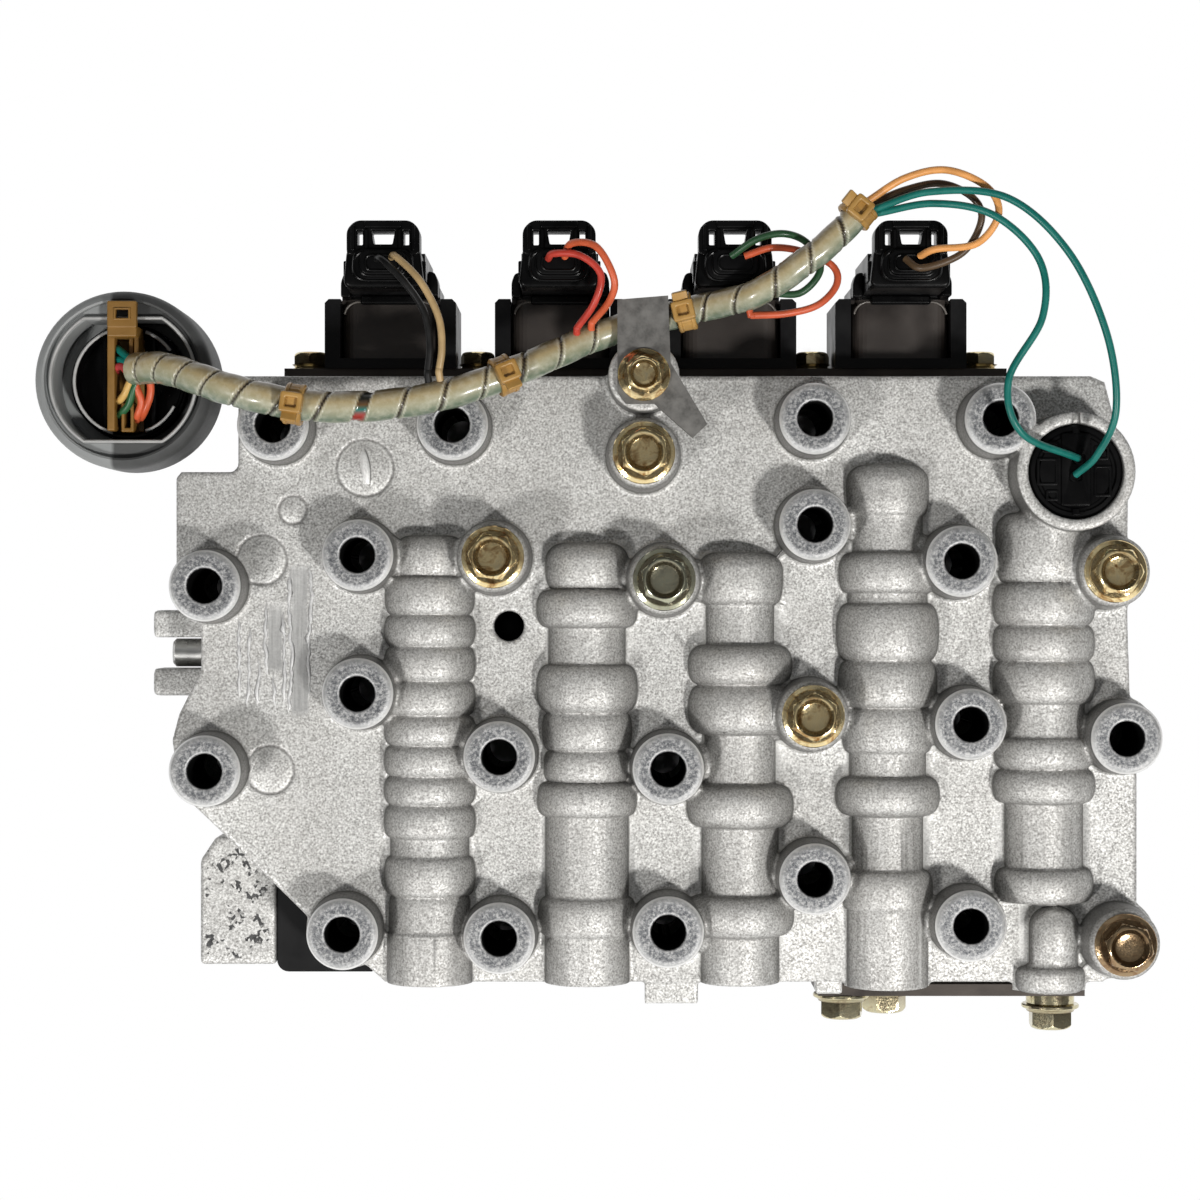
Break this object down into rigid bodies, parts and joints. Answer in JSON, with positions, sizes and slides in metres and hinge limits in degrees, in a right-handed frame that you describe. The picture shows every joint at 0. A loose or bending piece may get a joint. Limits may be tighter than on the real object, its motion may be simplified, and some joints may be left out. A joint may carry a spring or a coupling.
{
  "type": "transmission valve body",
  "caption": "Cast valve body with ribbed spool bores, bolt bosses, shift solenoids along one edge and a wiring loom that ends in a round case connector.",
  "frame": {"origin": "on the case face, under the middle of the castings", "axes": "+X along the solenoid row, +Y towards the solenoids, +Z away from the transmission case"},
  "size_m": [0.2804, 0.2152, 0.0709],
  "materials": {
    "cast_aluminium": "grained casting with machined boss faces",
    "gasket": "matt paper gasket",
    "bright_steel": "ground steel",
    "spool_aluminium": "hard anodised",
    "spring_steel": "dull steel",
    "black_moulding": "matt black",
    "zinc_bolt": "yellow zinc plate",
    "dark_steel": "dark phosphate",
    "yoke_black": "black coat",
    "coil_resin": "glossy dark resin",
    "core_steel": "turned steel",
    "black_plug": "satin black",
    "seal_rubber": "matt rubber",
    "bracket_steel": "dull zinc",
    "loom_wrap": "milky wrap",
    "wire_tan": "insulated wire",
    "wire_red": "insulated wire",
    "wire_green": "insulated wire",
    "wire_orange": "insulated wire",
    "wire_teal": "insulated wire",
    "tan_nylon": "natural nylon",
    "grey_shell": "satin grey"
  },
  "bodies": {
    "castings": {"upper_body": "cast_aluminium", "upper_gasket": "gasket", "separator_plate": "bright_steel", "lower_gasket": "gasket", "lower_body": "cast_aluminium", "corner_cover": "black_moulding", "body_bolts": "zinc_bolt", "check_balls": "bright_steel", "spring_1": "spring_steel", "spring_2": "spring_steel", "spring_3": "spring_steel", "spring_4": "spring_steel", "spring_5": "spring_steel", "bore_plugs": "spool_aluminium", "plug_keepers": "spring_steel", "solenoid_plate": "dark_steel", "solenoid_plate_bolts": "zinc_bolt", "solenoid_seals": "seal_rubber", "solenoid_1_yoke": "yoke_black", "solenoid_2_yoke": "yoke_black", "solenoid_3_yoke": "yoke_black", "solenoid_4_yoke": "yoke_black", "solenoid_1_coil": "coil_resin", "solenoid_2_coil": "coil_resin", "solenoid_3_coil": "coil_resin", "solenoid_4_coil": "coil_resin", "solenoid_1_core": "core_steel", "solenoid_2_core": "core_steel", "solenoid_3_core": "core_steel", "solenoid_4_core": "core_steel", "solenoid_1_plug": "black_plug", "solenoid_2_plug": "black_plug", "solenoid_3_plug": "black_plug", "solenoid_4_plug": "black_plug", "cover_plate": "dark_steel", "cover_bolts": "zinc_bolt", "harness_bracket": "bracket_steel", "bracket_bolt": "zinc_bolt", "temperature_sensor": "black_plug", "loom": "loom_wrap", "solenoid_1_leads": "wire_tan", "solenoid_2_leads": "wire_red", "solenoid_3_leads": "wire_green", "solenoid_4_leads": "wire_orange", "sensor_leads": "wire_teal", "cable_ties": "tan_nylon", "connector_shell": "grey_shell", "connector_insert": "black_plug", "terminal_retainer": "tan_nylon", "connector_seal": "seal_rubber"},
    "manual_valve": {"manual_valve": "bright_steel"},
    "spool_1": {"spool_1": "spool_aluminium"},
    "spool_2": {"spool_2": "spool_aluminium"},
    "spool_3": {"spool_3": "spool_aluminium"},
    "spool_4": {"spool_4": "spool_aluminium"},
    "spool_5": {"spool_5": "spool_aluminium"},
    "plunger_1": {"solenoid_1_plunger": "core_steel"},
    "plunger_2": {"solenoid_2_plunger": "core_steel"},
    "plunger_3": {"solenoid_3_plunger": "core_steel"},
    "plunger_4": {"solenoid_4_plunger": "core_steel"}
  },
  "joints": [
    {"name": "manual_valve_slide", "type": "slide", "parent": "castings", "child": "manual_valve", "axis": [-1, 0, 0], "range_m": [-0.004, 0.018]},
    {"name": "spool_1_slide", "type": "slide", "parent": "castings", "child": "spool_1", "axis": [0, -1, 0], "range_m": [0, 0.005], "stiffness_N_per_m": 600, "springref_m": -0.004, "deforming": ["spring_1"]},
    {"name": "spool_2_slide", "type": "slide", "parent": "castings", "child": "spool_2", "axis": [0, -1, 0], "range_m": [0, 0.005], "stiffness_N_per_m": 600, "springref_m": -0.004, "deforming": ["spring_2"]},
    {"name": "spool_3_slide", "type": "slide", "parent": "castings", "child": "spool_3", "axis": [0, -1, 0], "range_m": [0, 0.005], "stiffness_N_per_m": 600, "springref_m": -0.004, "deforming": ["spring_3"]},
    {"name": "spool_4_slide", "type": "slide", "parent": "castings", "child": "spool_4", "axis": [0, -1, 0], "range_m": [0, 0.005], "stiffness_N_per_m": 600, "springref_m": -0.004, "deforming": ["spring_4"]},
    {"name": "spool_5_slide", "type": "slide", "parent": "castings", "child": "spool_5", "axis": [0, -1, 0], "range_m": [0, 0.005], "stiffness_N_per_m": 600, "springref_m": -0.004, "deforming": ["spring_5"]},
    {"name": "plunger_1_slide", "type": "slide", "parent": "castings", "child": "plunger_1", "axis": [0, -1, 0], "range_m": [0, 0.0012], "stiffness_N_per_m": 400, "springref_m": -0.001},
    {"name": "plunger_2_slide", "type": "slide", "parent": "castings", "child": "plunger_2", "axis": [0, -1, 0], "range_m": [0, 0.0012], "stiffness_N_per_m": 400, "springref_m": -0.001},
    {"name": "plunger_3_slide", "type": "slide", "parent": "castings", "child": "plunger_3", "axis": [0, -1, 0], "range_m": [0, 0.0012], "stiffness_N_per_m": 400, "springref_m": -0.001},
    {"name": "plunger_4_slide", "type": "slide", "parent": "castings", "child": "plunger_4", "axis": [0, -1, 0], "range_m": [0, 0.0012], "stiffness_N_per_m": 400, "springref_m": -0.001}
  ]
}
